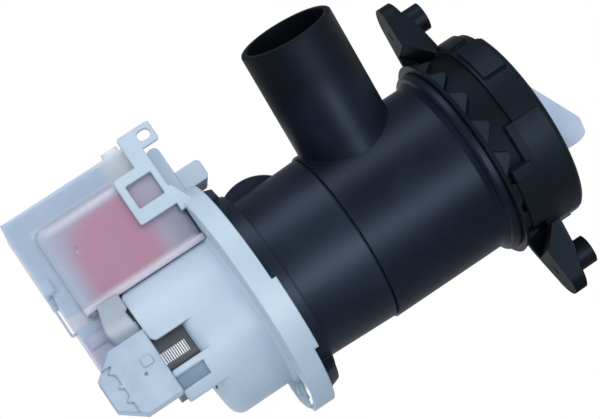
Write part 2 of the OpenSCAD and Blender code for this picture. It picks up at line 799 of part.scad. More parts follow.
module far_bobbin() {
    color(milky) bobbin();
}

module coil() {
    color(pink) difference() {
        bobbin_blank(coil_low + fit_gap, coil_high - fit_gap, wound, coil_build * 0.9);
        bobbin_blank(coil_low - over, coil_high + over, bobbin_wall + fit_gap, bobbin_wall / 2);
    }
}

module near_coil() {
    mirror([0, 1, 0]) coil();
}

module far_coil() {
    coil();
}

// Milky cover over coils and yoke, open below, stepped in at the foot of its rear wall
bulge_top = bobbin_top + 2.6;
bulge_x = cheek_x[0] - 9;
cover_front = web_x - run_gap;
cover_seat = 0.06;
cover_low = shell_top + cover_seat;

module cover_block(inset, low) {
    y = cover_neck_w / 2 - inset;
    r = cover_round - inset;
    wide = cover_w / 2 - r - inset;
    box([cover_x + inset, cover_front - inset], [-y, y], [step_z + inset, cover_top - inset]);
    box([cover_x + rear_step + inset, cover_front - inset], [-y, y], [low, step_z + inset + fuse]);
    hull() for (cx = [bulge_x + inset + r, cover_front - inset - r], cy = [-wide, wide]) {
        translate([cx, cy, bulge_top - inset - r]) sphere(r, $fn = 24);
        translate([cx, cy, low]) cylinder(r = r, h = 1, $fn = 24);
    }
}

module motor_cover() {
    lip = [1, 2.5];
    loop_z = [skirt_low + (step_z - skirt_low) * 0.478, step_z];
    loop_x = [cover_x - 0.7, cover_x + rear_step + fuse];
    loop_t = 1;
    loop_w = 2;
    half = cover_neck_w / 2;
    skirt_end = tab_x - 2;
    clip_x = [web_x - cover_len * 0.25, web_x - cover_len * 0.136];
    clip_w = 5;
    clip_h = 2;
    snap_z = [step_z + 0.7, step_z + 6.9];
    snap_x = [cover_x - 0.7, cover_x + 4.5];
    ledge_z = [skirt_low + 8, skirt_low + 12.9];
    ledge = 0.6;
    color(milky, 0.6) difference() {
        union() {
            cover_block(0, cover_low);
            box([cover_x + rear_step, skirt_end], [-half, half], [skirt_low, cover_low + over]);
            box([cover_x + rear_step + over, skirt_end - over], [-half - ledge, half + ledge], ledge_z);
            box([bulge_x, cover_front], [-cover_w / 2 - lip[0], cover_w / 2 + lip[0]],
                [cover_low, cover_low + lip[1]]);
            box(clip_x, [-half, clip_w - half], [cover_top - over, cover_top + clip_h]);
            along_y(-half - ledge, loop_w - half) polygon([[snap_x[0], snap_z[0]],
                [snap_x[0] + over, snap_z[1]], [snap_x[1] - over, snap_z[1]], [snap_x[1], snap_z[0]]]);
            along_y(1 - half, loop_w + 1 - half) difference() {
                round_rect(loop_x, loop_z, loop_t);
                rect([loop_x[0] + loop_t, loop_x[1] + over], [loop_z[0] + loop_t, loop_z[1] - loop_t]);
            }
        }
        cover_block(cover_wall, cover_low - over);
        box([cover_x + rear_step + cover_wall, skirt_end + over], [cover_wall - half, half - cover_wall],
            [skirt_low - over, cover_low + 2]);
    }
}

// Connector with chamfered ends, open toward the rear, and its two tabs
plug_low = plug_top - plug_h;
plug_deep = plug_len * 0.62;
plug_bevel = [plug_len * 0.38, plug_h * 0.265];
plug_floor = 2;
plug_mid = (plug_y[0] + plug_y[1]) / 2;
tab_y = [plug_mid - tab_t / 2, plug_mid + tab_t / 2];
tab_pitch = 9;
tab_zs = [for (side = [-1, 1]) plug_low + plug_h / 2 + side * tab_pitch / 2];

module plug_outline(inset, back, front) {
    high = plug_top - inset;
    low = plug_low + inset;
    polygon([[front, low], [front, high], [plug_x + plug_bevel[0], high], [back, high - plug_bevel[1]],
        [back, low + plug_bevel[1]], [plug_x + plug_bevel[0], low]]);
}

// Stepped mouth with three key teeth on the outer face
module key_step() {
    key_x = plug_x + plug_len * 0.28;
    key_half = [2.4, 1.3, 2];
    key_z = [plug_top - 7.4, plug_top - 14, plug_top - 19.9];
    key_len = 2.2;
    difference() {
        rect([plug_x - over, key_x], [plug_low - over, plug_top - 5]);
        for (i = [0:2]) polygon([[key_x - key_len, key_z[i]], [key_x + over, key_z[i] - key_half[i]],
            [key_x + over, key_z[i] + key_half[i]]]);
    }
}

module connector_housing() {
    step = 1;
    latch_x = [plug_end_x - 7.5, plug_end_x - 3];
    latch_z = [plug_top - 13, plug_top - 9.2];
    latch_h = 0.6;
    dimple = [plug_end_x - 8.2, plug_top - 15.1];
    dimple_d = 1.4;
    color(milky) difference() {
        union() {
            along_y(plug_y[0], plug_y[1]) plug_outline(0, plug_x, plug_end_x);
            along_y(plug_y[0] - latch_h, plug_y[0] + over) round_rect(latch_x, latch_z, 1);
        }
        along_y(plug_y[0] - over, plug_y[0] + step) {
            key_step();
            translate(dimple) circle(dimple_d / 2);
        }
        along_y(plug_y[0] + plug_wall, plug_y[1] - plug_wall)
            plug_outline(plug_wall, plug_x - over, plug_x + plug_deep);
        for (z = tab_zs) box([plug_x + plug_deep - over, plug_end_x - plug_floor],
            [tab_y[0] - fit_gap, tab_y[1] + fit_gap], [z - tab_w / 2 - fit_gap, z + tab_w / 2 + fit_gap]);
    }
}

module terminal_tabs() {
    tip_x = plug_x + plug_len * 0.2;
    root_x = plug_end_x - plug_floor - fit_gap;
    point = 1.2;
    color(brass) for (z = tab_zs) let (low = z - tab_w / 2, high = z + tab_w / 2)
        along_y(tab_y[0], tab_y[1]) polygon([[root_x, low], [root_x, high], [tip_x + point, high],
            [tip_x, high - point], [tip_x, low + point], [tip_x + point, low]]);
}

// Bearing cap that closes the rotor can, with its bush, seal and O-ring
cap_flange_t = 2;
cap_face = boss_front + cap_flange_t;
cap_plug_r = boss_bore - fit_gap;
ring_d = 2;
ring_x = boss_front - 4;
seal_len = 4;
front_bush_x = cap_face - over - seal_len - bush_len;
shaft_hole = shaft_r + 0.6;
core_gap = 0.05;

module bearing_cap() {
    groove = [ring_x - ring_d / 2 - fit_gap, ring_x + ring_d / 2 + fit_gap];
    groove_r = cap_plug_r - ring_d;
    color(black) difference() {
        turned([[web_front, shaft_hole], [web_front, cap_plug_r], [groove[0], cap_plug_r],
            [groove[0], groove_r], [groove[1], groove_r], [groove[1], cap_plug_r],
            [boss_front, cap_plug_r], [boss_front, boss_r], [cap_face, boss_r - 1], [cap_face, shaft_hole]]);
        rod(front_bush_x, cap_face + over, bush_r + fit_gap);
    }
}

module cap_o_ring() {
    color(rubber) seal_ring(ring_x, cap_plug_r - ring_d / 2 + core_gap, ring_d - 2 * core_gap);
}

module bush(x) {
    color(brass) tube(x, x + bush_len, bush_r, shaft_r + bush_gap);
}

module front_bush() {
    bush(front_bush_x);
}

module rear_bush() {
    bush(pocket_x);
}

module shaft_seal() {
    x = front_bush_x + bush_len;
    lip_r = shaft_r + 2 * core_gap;
    color(rubber) turned([[x, shaft_hole], [x, bush_r], [x + seal_len, bush_r], [x + seal_len, lip_r + 1.5],
        [x + seal_len - 1, lip_r + 0.8], [x + 1.6, lip_r], [x + 1, lip_r]]);
}

module flange_seal() {
    color(rubber) seal_ring(casing_x - seal_d / 2 - fit_gap / 2, seal_r, seal_d - fit_gap);
}

// Rotor: magnet on a plastic core on the shaft, with the drive dog at the pump end
dog_x = cap_face + 5;
dog_len = 9;
dog_r = dog_d / 2;
lug_r = dog_r + 4;
nose_x = dog_x + dog_len + 2.5;
shaft_tip = nose_x + 3;
magnet_x = [stack_mid - magnet_len / 2, stack_mid + magnet_len / 2];

module rotor_shaft() {
    start = pocket_x + run_gap;
    bevel = 0.4;
    color(steel) turned([[start, 0], [start, shaft_r - bevel], [start + bevel, shaft_r],
        [shaft_tip - bevel, shaft_r], [shaft_tip, shaft_r - bevel], [shaft_tip, 0]]);
}

module rotor_sleeve() {
    r = sleeve_d / 2;
    bore = shaft_r + core_gap;
    stop = 1.5;
    color(white) turned([[magnet_x[0] - 0.8, bore], [magnet_x[0] - 0.8, r - 1], [magnet_x[0], r],
        [magnet_x[1], r], [magnet_x[1], r + stop], [magnet_x[1] + stop, r + stop], [magnet_x[1] + stop, bore]]);
}

module rotor_magnet() {
    color(iron) tube(magnet_x[0], magnet_x[1], magnet_d / 2, sleeve_d / 2 + core_gap);
}

module drive_dog() {
    color(white) difference() {
        union() {
            rod(dog_x, dog_x + dog_len, dog_r);
            turned_part(ring([dog_x, dog_x + dog_len], [dog_r - 1, lug_r - run_gap]),
                -lug_angle / 2, lug_angle);
        }
        rod(dog_x - over, dog_x + dog_len + over, shaft_r + core_gap);
    }
}

// Impeller with straight vanes and a hub that swings freely round the drive dog between two stops
module impeller() {
    hub_r = lug_r + 1.8;
    r = impeller_d / 2;
    disc_x = cap_face + run_gap * 2;
    disc_end = disc_x + 1.8;
    vane_x = [disc_x + 0.5, disc_x + vane_h];
    tip_cut = [2, 4];
    end_x = shaft_tip + 2.5;
    rest_gap = 4;
    color(black) difference() {
        union() {
            turned([[disc_x, 0], [disc_x, r], [disc_end, r], [disc_end + 1.2, hub_r + 3], [nose_x, hub_r],
                [nose_x + 4, hub_r - 4], [end_x, shaft_r + 1.5], [end_x, 0]]);
            for (i = [0:vanes - 1]) around(360 / vanes * i) along_y(-vane_t / 2, vane_t / 2)
                polygon([[vane_x[0], hub_r - 1], [vane_x[0], r], [vane_x[1] - tip_cut[0], r],
                    [vane_x[1], r - tip_cut[1]], [vane_x[1], hub_r - 1]]);
        }
        rod(disc_x - over, nose_x - 2, lug_r);
        rod(nose_x - 3, shaft_tip + run_gap, shaft_r + core_gap);
    }
    color(black) turned_part(ring([dog_x + 0.5, nose_x - 1.5], [dog_r + run_gap, lug_r + 0.5]),
        lug_angle / 2 + rest_gap, lug_angle);
}

// Filter: cap with grip bar, seal ring in its plug and a strainer clipped into the plug
plug_r = tube_bore - run_gap * 1.5;
cap_x = run_gap;
plug_end = cap_x - plug_depth;
seal_x = plug_end + plug_depth * 0.55;
groove_r = plug_r - cap_seal_d + 0.3;
basket_r = tube_bore - basket_gap;
grip_half = cap_r - grip_inset;
cup_r = plug_r - cap_seal_d - 1.6;

module filter_seal() {
    color(rubber) seal_ring(seal_x, groove_r + 2 * core_gap + cap_seal_d / 2, cap_seal_d);
}

module filter_cap() {
    half = cap_seal_d / 2 + 2 * fit_gap;
    face = cap_x + cap_t;
    edge = 1.2;
    round_x = grip_top - grip_round;
    round_z = grip_half - grip_round;
    color(white) union() {
        turned([[plug_end, cup_r], [plug_end, plug_r], [seal_x - half, plug_r], [seal_x - half, groove_r],
            [seal_x + half, groove_r], [seal_x + half, plug_r], [cap_x, plug_r], [cap_x, cap_r],
            [face - edge, cap_r], [face, cap_r - edge], [face, 0], [cap_x, 0], [cap_x, cup_r]]);
        around(-grip_turn) along_y(-grip_t / 2, grip_t / 2) polygon(concat([[face - over, -grip_half]],
            arc(round_x, -round_z, grip_round, -90, 0, 10), arc(round_x, round_z, grip_round, 0, 90, 10),
            [[face - over, grip_half]]));
    }
}

module filter_basket() {
    tail = seam_x + run_gap * 2.5;
    middle = (tail + plug_end) / 2;
    hoop = 3;
    inner = basket_r - basket_wall;
    bar_w = 2.6;
    color(white) union() {
        tube(plug_end - hoop, plug_end, basket_r, inner);
        tube(plug_end - over, plug_end + 5, cup_r - fit_gap, inner - 0.5);
        tube(tail, tail + hoop, basket_r, inner);
        tube(middle - 1, middle + 1, basket_r, inner);
        for (i = [0:bars - 1]) around(360 / bars * i)
            box([tail + over, plug_end - over], [-bar_w / 2, bar_w / 2], [inner + 0.2, basket_r - 0.2]);
    }
}

filter_housing();
mounting_collar();
volute_casing();
motor_frame();
stator_core();
core_yoke();
near_bobbin();
far_bobbin();
near_coil();
far_coil();
motor_cover();
connector_housing();
terminal_tabs();
bearing_cap();
cap_o_ring();
front_bush();
rear_bush();
shaft_seal();
flange_seal();
rotor_shaft();
rotor_sleeve();
rotor_magnet();
drive_dog();
impeller();
filter_seal();
filter_cap();
filter_basket();
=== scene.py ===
"""Looks of a washing machine's drain pump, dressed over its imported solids.

The sections follow the pump as it is put together, from the filter housing back to the motor and its
plug, and end with the studio. Lengths are metres in the frame of the solids, colours are plain sRGB.
"""
import math

import bmesh
import bpy
from mathutils import Matrix, Vector


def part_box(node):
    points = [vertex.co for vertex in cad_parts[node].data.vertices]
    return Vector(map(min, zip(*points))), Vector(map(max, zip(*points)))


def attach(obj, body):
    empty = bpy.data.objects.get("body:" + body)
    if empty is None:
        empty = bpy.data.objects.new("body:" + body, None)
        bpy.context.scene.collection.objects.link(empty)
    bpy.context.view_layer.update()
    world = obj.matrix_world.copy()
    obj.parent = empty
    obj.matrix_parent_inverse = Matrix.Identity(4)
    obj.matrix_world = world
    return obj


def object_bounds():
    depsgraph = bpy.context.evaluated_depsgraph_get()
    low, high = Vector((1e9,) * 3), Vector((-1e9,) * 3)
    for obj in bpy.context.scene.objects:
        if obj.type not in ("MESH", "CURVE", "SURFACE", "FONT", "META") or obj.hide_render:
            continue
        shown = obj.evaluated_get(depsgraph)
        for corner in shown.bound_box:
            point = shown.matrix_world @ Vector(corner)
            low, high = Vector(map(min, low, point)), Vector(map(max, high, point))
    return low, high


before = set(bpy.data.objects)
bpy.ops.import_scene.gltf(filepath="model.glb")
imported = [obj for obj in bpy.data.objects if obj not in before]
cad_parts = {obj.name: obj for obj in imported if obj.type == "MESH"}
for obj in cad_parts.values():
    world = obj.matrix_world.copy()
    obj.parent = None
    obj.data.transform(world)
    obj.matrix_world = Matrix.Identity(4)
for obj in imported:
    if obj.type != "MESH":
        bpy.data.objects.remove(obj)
cad_box = [list(corner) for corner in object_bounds()]


# FILTER HOUSING
# The long tube with the slanted inlet spigot, injection moulded in black mineral-filled polypropylene.
# Its back end is hot-plate welded to the pump casing. The fine grain is that of the eroded mould.
class Socket:
    """One output in a material's nodes. Arithmetic on it adds Math nodes to the same tree."""

    def __init__(self, tree, output=None):
        self.tree = tree
        self.output = output

    def node(self, kind, settings=None, inputs=None, out=0):
        """Adds any node: its settings come first, then a value or a link for each socket named."""
        made = self.tree.nodes.new(kind)
        for name, value in (settings or {}).items():
            setattr(made, name, value)
        for name, value in (inputs or {}).items():
            if isinstance(value, Socket):
                self.tree.links.new(value.output, made.inputs[name])
            else:
                made.inputs[name].default_value = value
        return Socket(self.tree, made.outputs[out])

    def math(self, operation, other=None, flipped=False):
        """A Math node on this value, and on another where the operation takes two."""
        values = [self] if other is None else [self, other]
        if flipped:
            values.reverse()
        return self.node("ShaderNodeMath", {"operation": operation}, dict(enumerate(values)))

    def __add__(self, other):
        return self.math("ADD", other)

    def __radd__(self, other):
        return self.math("ADD", other, flipped=True)

    def __sub__(self, other):
        return self.math("SUBTRACT", other)

    def __rsub__(self, other):
        return self.math("SUBTRACT", other, flipped=True)

    def __mul__(self, other):
        return self.math("MULTIPLY", other)

    def __rmul__(self, other):
        return self.math("MULTIPLY", other, flipped=True)

    def __truediv__(self, other):
        return self.math("DIVIDE", other)

    def __rtruediv__(self, other):
        return self.math("DIVIDE", other, flipped=True)

    def tint(self, low, high):
        """Uses this value, from 0 to 1, to go from one colour to another."""
        colours = {"Factor": self, 6: low, 7: high}
        return self.node("ShaderNodeMix", {"data_type": "RGBA"}, colours, out=2)

    def rise(self, start, end):
        """0 below start, 1 above end, and an even S between them."""
        limits = {"Value": self, "From Min": start, "From Max": end}
        return self.node("ShaderNodeMapRange", {"interpolation_type": "SMOOTHSTEP"}, limits)

    def within(self, low, high, soft):
        """1 from low to high, fading to 0 over soft on either side."""
        return self.rise(low - soft, low + soft) * (1 - self.rise(high - soft, high + soft))


def srgb(red, green, blue):
    """A colour picker's 0 to 255 as the linear colour that the nodes take."""
    def linear(level):
        level /= 255
        return level / 12.92 if level <= 0.04045 else ((level + 0.055) / 1.055) ** 2.4
    return (linear(red), linear(green), linear(blue), 1.0)


def new_finish(name, **levels):
    """An empty finish: the material, its shader with fixed levels set, and the place on the part."""
    material = bpy.data.materials.new(name)
    material.use_nodes = True
    shader = material.node_tree.nodes["Principled BSDF"]
    for socket, value in levels.items():
        shader.inputs[socket.replace("_", " ")].default_value = value
    place = Socket(material.node_tree).node("ShaderNodeTexCoord", out="Object")
    return material, shader, place


def connect(shader, **sources):
    """Feeds a shader's sockets, named with _ for a space."""
    for socket, source in sources.items():
        source.tree.links.new(source.output, shader.inputs[socket.replace("_", " ")])


def speckle(place, size, detail=2.0):
    """Noise from 0 to 1 in lumps of about this size."""
    return place.node("ShaderNodeTexNoise", inputs={"Vector": place, "Scale": 1 / size, "Detail": detail})


def eased_grain(place, height, depth, edge):
    """A moulding's surface: mould grain of this depth over edges that are eased by this radius."""
    eased = place.node("ShaderNodeBevel", {"samples": 6}, {"Radius": edge})
    relief = {"Strength": 1.0, "Distance": depth, "Height": height, "Normal": eased}
    return place.node("ShaderNodeBump", inputs=relief)


def clouded(place, size, deep, pale):
    """Slow clouds of this size in a plastic, and the colour that they give between two near ones."""
    clouds = speckle(place, size, detail=4.0)
    return clouds, clouds.rise(0.3, 0.7).tint(deep, pale)


def uneven(gloss, *noises):
    """A roughness that swings about its level with each noise."""
    swing = 0.08
    for noise in noises:
        gloss = gloss + (noise - 0.5) * swing
    return gloss


def moulded(name, deep, pale, gloss, cloud, grain, edge, **levels):
    """Injection-moulded plastic, clouded between two near colours, with the grain of its mould."""
    material, shader, place = new_finish(name, **levels)
    clouds, colour = clouded(place, cloud, deep, pale)
    pits = speckle(place, grain)
    connect(shader, Base_Color=colour, Roughness=uneven(gloss, clouds, pits),
            Normal=eased_grain(place, pits, mould_grain, edge))
    return material


def dress(material, *names):
    """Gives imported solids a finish, shaded smooth up to a crease."""
    crease = math.radians(32)
    touching = 1e-6
    for name in names:
        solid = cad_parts[name]
        solid.data.materials.clear()
        solid.data.materials.append(material)
        solid.data.shade_smooth()
        weld = solid.modifiers.new("joined", "WELD")
        weld.merge_threshold = touching
        split = solid.modifiers.new("creases", "EDGE_SPLIT")
        split.split_angle = crease


def axes(place):
    """The place on the part along each of the three axes."""
    return [place.node("ShaderNodeSeparateXYZ", inputs={"Vector": place}, out=axis) for axis in "XYZ"]


def housing_finish(name):
    """Housing plastic, rougher on the spigot than along the tube, with painted shade that makes the spigot
    deeper black.
    """
    material, shader, place = new_finish(name, Specular_IOR_Level=0.14, Specular_Tint=blue_sheen)
    spigot_root = (0.040, 0.054)
    _, _, up = axes(place)
    clouds, black = clouded(place, 0.022, srgb(12, 17, 26), srgb(20, 27, 38))
    pits = speckle(place, 0.0004)
    spigot_shade_and_matt = up.rise(*spigot_root)
    # Painted shade: the spigot's black is deepened towards near-black, and the spigot is made rougher.
    connect(shader, Base_Color=spigot_shade_and_matt.tint(black, srgb(5, 7, 11)),
            Roughness=uneven(0.43, clouds, pits) + spigot_shade_and_matt * 0.15,
            Normal=eased_grain(place, pits, mould_grain, 0.0006))
    return material


mould_grain = 0.00001
blue_sheen = (0.55, 0.70, 1.0, 1.0)
housing_plastic = housing_finish("housing_plastic")
dress(housing_plastic, "filter_housing")


# MOUNTING COLLAR
# The ring with the two screw ears, a second black moulding snapped and welded round the tube's mouth.
# The filter cap turns home in the recess at its front.
def radius(across, up):
    """Distance from the pump's axis."""
    square = across * across + up * up
    return square.math("SQRT")


def collar_finish(name):
    """Collar plastic with painted shade in the waist's floor and a painted highlight on the gussets' flat
    tops.
    """
    material, shader, place = new_finish(name, Specular_IOR_Level=0.12, Specular_Tint=blue_sheen)
    waist_back, waist_front = -0.0200, -0.0068
    waist_floor = (0.0412, 0.0418)
    gusset_low, gusset_high = 0.0422, 0.0434
    along, across, up = axes(place)
    clouds, black = clouded(place, 0.016, srgb(10, 14, 18), srgb(16, 21, 27))
    pits = speckle(place, 0.0004)
    out = radius(across, up)
    waist = along.within(waist_back, waist_front, soft=0.0003)
    # Painted shade darkens the floor of the waist, and a painted highlight makes the gussets' flat tops
    # paler.
    waist_shade = (waist * (1 - out.rise(*waist_floor))).tint(black, srgb(4, 6, 9))
    gusset_highlight = waist * out.within(gusset_low, gusset_high, soft=0.0004) * (0.6 + clouds * 0.8)
    connect(shader, Base_Color=gusset_highlight.tint(waist_shade, srgb(28, 36, 46)),
            Roughness=uneven(0.46, pits) + (clouds - 0.5) * 0.16 + waist * 0.1,
            Normal=eased_grain(place, pits, mould_grain, 0.0005))
    return material


collar_plastic = collar_finish("collar_plastic")
dress(collar_plastic, "mounting_collar")


# VOLUTE CASING
# The pump chamber with its outlet, moulded in the same black plastic as the housing.
# Three lugs on its rear flange take the motor's quarter-turn lock.
casing_plastic = moulded("casing_plastic", srgb(16, 22, 31), srgb(25, 33, 45), gloss=0.44, cloud=0.020,
                         grain=0.0004, edge=0.0006, Specular_IOR_Level=0.20, Specular_Tint=blue_sheen)
dress(casing_plastic, "volute_casing")


# MOTOR FRAME
# The white glass-filled polyester body of the motor: lock flange, shell and the can round the rotor.
# It is moulded in one, with brackets that the cover snaps into.
def frame_finish(name):
    """Frame plastic with painted shade, bluish grey, in the shelf's recess."""
    material, shader, place = new_finish(name, Specular_IOR_Level=0.3)
    recess_floor, recess_lip = (0.0334, 0.0338), (0.0345, 0.0352)
    near_side = (-0.026, -0.024)
    shelf_low, shelf_high = -0.0186, -0.0124
    shelf_end = (-0.157, -0.155)
    along, across, up = axes(place)
    clouds, white = clouded(place, 0.018, srgb(182, 200, 217), srgb(189, 206, 222))
    pits = speckle(place, 0.0005)
    out = radius(across, up)
    # Painted shade: the floor of the shelf's recess is tinted bluish grey.
    shaded_recess = out.rise(*recess_floor) * (1 - out.rise(*recess_lip)) * (1 - across.rise(*near_side))
    shelf_shade = shaded_recess * up.within(shelf_low, shelf_high, soft=0.0004) * (1 - along.rise(*shelf_end))
    connect(shader, Base_Color=shelf_shade.tint(white, srgb(126, 152, 174)), Roughness=uneven(0.46, clouds),
            Normal=eased_grain(place, pits, 0.000012, 0.0011))
    return material


frame_plastic = frame_finish("frame_plastic")
dress(frame_plastic, "motor_frame")


# LAMINATION STACK
# The U-shaped core and its yoke: stamped electrical steel sheets, pressed together and interlocked.
# The cut edges stay bare and grey, with brighter lines painted on as a highlight in one band.
def lamination(name):
    """Sheet edges side by side, with a painted highlight on the edges in one band."""
    core_low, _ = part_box("stator_core")
    sheet = 0.00095
    glint_low, glint_high = -0.0062, -0.0015
    glint_end = (-0.1578, -0.1572)
    material, shader, place = new_finish(name, Specular_IOR_Level=0.5)
    along, _, up = axes(place)
    turn = ((along - core_low.x) / sheet).math("FRACT")
    edge = turn.within(0.10, 0.68, soft=0.08)
    # A painted highlight: the sheet edges in one band are near white, less rough and less metallic.
    edge_glint = edge * up.within(glint_low, glint_high, soft=0.0002) * (1 - along.rise(*glint_end))
    rust = speckle(place, 0.004, 5.0)
    dull = (rust * 0.5 + edge * 0.5).tint(srgb(34, 38, 44), srgb(80, 87, 95))
    colour = edge_glint.tint(dull, srgb(246, 248, 252))
    roughness = 0.5 - edge_glint * 0.15 + (rust - 0.5) * 0.2
    connect(shader, Base_Color=colour, Roughness=roughness, Metallic=0.3 - edge_glint * 0.2,
            Normal=eased_grain(place, edge, 0.00003, 0.0001))
    return material


dress(lamination("core_steel"), "stator_core", "core_yoke")


# BOBBINS
# Two coil formers of natural polyamide, one on each limb of the core.
# The near one carries the block that the winding's ends are soldered into.
bobbin_plastic = moulded("bobbin_plastic", srgb(152, 165, 178), srgb(167, 179, 191), gloss=0.42,
                         cloud=0.010, grain=0.0004, edge=0.0016, Specular_IOR_Level=0.4)
dress(bobbin_plastic, "near_bobbin", "far_bobbin")


# COILS
# Enamelled wire wound on the bobbins and wrapped in two turns of pink polyester tape.
# The turns of wire press through the tape as fine ridges.
def winding_tape(name):
    """Creased tape over round wires."""
    material, shader, place = new_finish(name, Specular_IOR_Level=0.45)
    _, _, up = axes(place)
    wire_pitch = 0.0007
    turn = up * (2 * math.pi / wire_pitch)
    wires = turn.math("SINE") * 0.5 + 0.5
    creases = speckle(place, 0.006, 4.0)
    colour = creases.tint(srgb(196, 128, 146), srgb(216, 156, 170))
    connect(shader, Base_Color=colour, Roughness=0.38 + creases * 0.15,
            Normal=eased_grain(place, wires * 0.6 + creases * 0.4, 0.00008, 0.0005))
    return material


dress(winding_tape("winding_tape"), "near_coil", "far_coil")


# MOTOR COVER
# A thin snap-on cover of milky polypropylene over the coils and the yoke.
# Where its wall lies on the taped coil the pink shows through, softly, and fades to the rounded edges.
def milky_cover(name):
    """Milky plastic, with the coil's pink and the greyer hollow parts, and with painted light that makes
    the top edge, the neck, the lip and the bulge's foot paler.
    """
    coil_low, coil_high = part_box("near_coil")
    bulge_wall, bulge_foot = (0.0200, 0.0245), (0.0212, 0.0230)
    skirt_top = (0.016, 0.024)
    neck_start, neck_low = (-0.150, -0.138), (0.060, 0.067)
    hollow_start = (-0.190, -0.172)
    end_start, end_top = (-0.142, -0.133), (0.042, 0.052)
    coil_foot, coil_back, coil_soft = 0.026, 0.002, 0.0055
    corner = (0.216, 0.238)
    bracket_start, bracket_low = (-0.1485, -0.1435), (0.050, 0.056)
    highlight_start, highlight_end, highlight_low, highlight_high = -0.180, -0.146, 0.0610, 0.0640
    lip_face, lip_low, lip_high = (0.0190, 0.0198), 0.0255, 0.0308
    foot_start, foot_low, foot_high = (-0.1846, -0.1826), 0.034, 0.0672

    material, shader, place = new_finish(name, Specular_IOR_Level=0.3, Subsurface_Weight=0.85,
                                         Subsurface_Scale=0.008, Subsurface_Radius=(1.0, 1.0, 1.0))
    along, across, up = axes(place)
    side = across.math("ABSOLUTE")
    clouds, milk = clouded(place, 0.012, srgb(169, 187, 216), srgb(175, 192, 221))
    pits = speckle(place, 0.0006)

    wall = side.rise(*bulge_wall)
    skirt = 1 - up.rise(*skirt_top)
    # Painted light: the neck above the bulge's right end is made paler.
    neck_light = (1 - wall) * along.rise(*neck_start) * up.rise(*neck_low)
    hollow = wall * along.rise(*hollow_start)
    low_end = wall * along.rise(*end_start) * (1 - up.rise(*end_top))
    coil = (along.within(coil_low.x - coil_back, coil_high.x - coil_back, coil_soft)
            * up.within(coil_foot, coil_high.z, coil_soft))
    worn_corner = 1 - (up - along).rise(*corner)
    bracketed = 1 - along.rise(*bracket_start) * up.rise(*bracket_low) * 0.7
    pink = wall * coil * worn_corner * bracketed * (0.85 + clouds * 0.3)
    # Painted highlight along the bulge's rounded top edge, and painted light on the lip and round the
    # bulge's foot, against their shade.
    edge = along.within(highlight_start, highlight_end, soft=0.004) * up.within(highlight_low, highlight_high, soft=0.0015)
    lip_light = side.rise(*lip_face) * up.within(lip_low, lip_high, soft=0.0008)
    foot_light = ((1 - side.rise(*bulge_foot)) * along.rise(*foot_start)
            * up.within(foot_low, foot_high, soft=0.0012))

    colour = milk
    for mask, paint in ((skirt, srgb(174, 175, 198)), (neck_light, srgb(216, 224, 234)),
                        (hollow, srgb(170, 168, 190)), (low_end, srgb(152, 153, 172)),
                        (pink, srgb(184, 137, 159)), (edge * 0.8, srgb(206, 208, 228)),
                        (lip_light * 0.62, srgb(218, 214, 231)), (foot_light * 0.5, srgb(214, 226, 248))):
        colour = mask.tint(colour, paint)
    connect(shader, Base_Color=colour, Roughness=uneven(0.36, clouds),
            Normal=eased_grain(place, pits, mould_grain, 0.0032))
    return material


def gate_mark(material):
    """The scar where the sprue was broken off the cover's near side: a low burr with a ragged outline."""
    lip_reach = 0.0010
    middle = Vector((-0.1720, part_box("motor_cover")[0].y + lip_reach, 0.0506))
    reach = (0.9, 0.6, 1.5, 0.7, 1.2, 0.6, 1.7, 0.8, 1.4, 0.5)
    height = (0.10, 0.32, 0.16, 0.40, 0.12, 0.30, 0.22, 0.36, 0.14, 0.28)
    spread, rise, waist_shade, crown = 0.0016, 0.001, 0.0001, 0.00015
    burr = bmesh.new()
    top = burr.verts.new(middle + Vector((0.0, -crown, 0.0)))
    rings = []
    for share, lift in ((0.5, 1.0), (1.0, 0.0)):
        ring = []
        for step, (far, tall) in enumerate(zip(reach, height)):
            angle = 2 * math.pi * step / len(reach)
            out = spread * far * share
            proud = rise * tall * lift if lift else -waist_shade
            point = Vector((out * math.cos(angle), -proud, out * math.sin(angle)))
            ring.append(burr.verts.new(middle + point))
        rings.append(ring)
    inner, outer = rings
    for step in range(len(reach)):
        after = (step + 1) % len(reach)
        burr.faces.new((top, inner[step], inner[after]))
        burr.faces.new((inner[step], outer[step], outer[after], inner[after]))
    burr.faces.new(outer)
    bmesh.ops.recalc_face_normals(burr, faces=burr.faces)
    mesh = bpy.data.meshes.new("gate_mark")
    burr.to_mesh(mesh)
    burr.free()
    mesh.materials.append(material)
    mark = bpy.data.objects.new("gate_mark", mesh)
    bpy.context.scene.collection.objects.link(mark)
    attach(mark, "housing")


dress(milky_cover("cover_plastic"), "motor_cover")
gate_mark(moulded("scar_plastic", srgb(152, 138, 160), srgb(186, 176, 194), gloss=0.38, cloud=0.0008,
                  grain=0.0003, edge=0.0001, Specular_IOR_Level=0.35))


# PLUG HOUSING
# The white socket for the machine's cable plug, slid onto the bobbin's block.
# Two tinned brass blades stand inside it.
plug_plastic = moulded("plug_plastic", srgb(163, 181, 201), srgb(177, 195, 213), gloss=0.42, cloud=0.010,
                       grain=0.0004, edge=0.0013, Specular_IOR_Level=0.4)
dress(plug_plastic, "connector_housing")


def bare_metal(name, deep, pale, gloss, streak):
    """Turned or stamped metal with fine marks left by the tool, round the pump's axis."""
    material, shader, place = new_finish(name, Specular_IOR_Level=0.5)
    along, _, _ = axes(place)
    marks = along.node("ShaderNodeTexNoise", {"noise_dimensions": "1D"}, {"W": along, "Scale": 1 / streak})
    stains = speckle(place, 0.004, 4.0)
    connect(shader, Base_Color=stains.tint(deep, pale), Roughness=gloss + marks * 0.12,
            Metallic=0.9 + stains * 0.1, Normal=eased_grain(place, marks, 0.000006, 0.0001))
    return material


dress(bare_metal("contact_brass", srgb(176, 148, 92), srgb(204, 180, 124), 0.25, 0.0002), "terminal_tabs")


